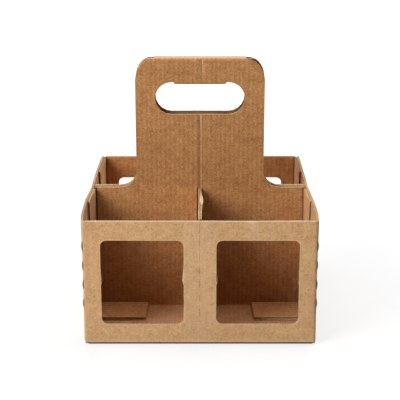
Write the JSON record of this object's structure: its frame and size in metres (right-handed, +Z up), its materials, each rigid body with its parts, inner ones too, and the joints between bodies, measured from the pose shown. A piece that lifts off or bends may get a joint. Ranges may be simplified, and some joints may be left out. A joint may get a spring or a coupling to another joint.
{
  "type": "cardboard four-pack carrier",
  "caption": "Folded and glued corrugated cardboard carrier with windowed walls, divided open cells and a tall double handle wall with a hand-hole",
  "frame": {"origin": "middle of the footprint, on the surface that the carrier stands on", "axes": "X across the front wall, to the right seen from the front; Y from front to back; Z up"},
  "size_m": [0.1662, 0.172, 0.1915],
  "materials": {
    "kraft_board": "matte unbleached kraft",
    "divider_board": "matte unbleached kraft"
  },
  "bodies": {
    "root": {"carrier_blank": "kraft_board", "front_divider": "divider_board", "rear_divider": "divider_board"}
  },
  "joints": []
}
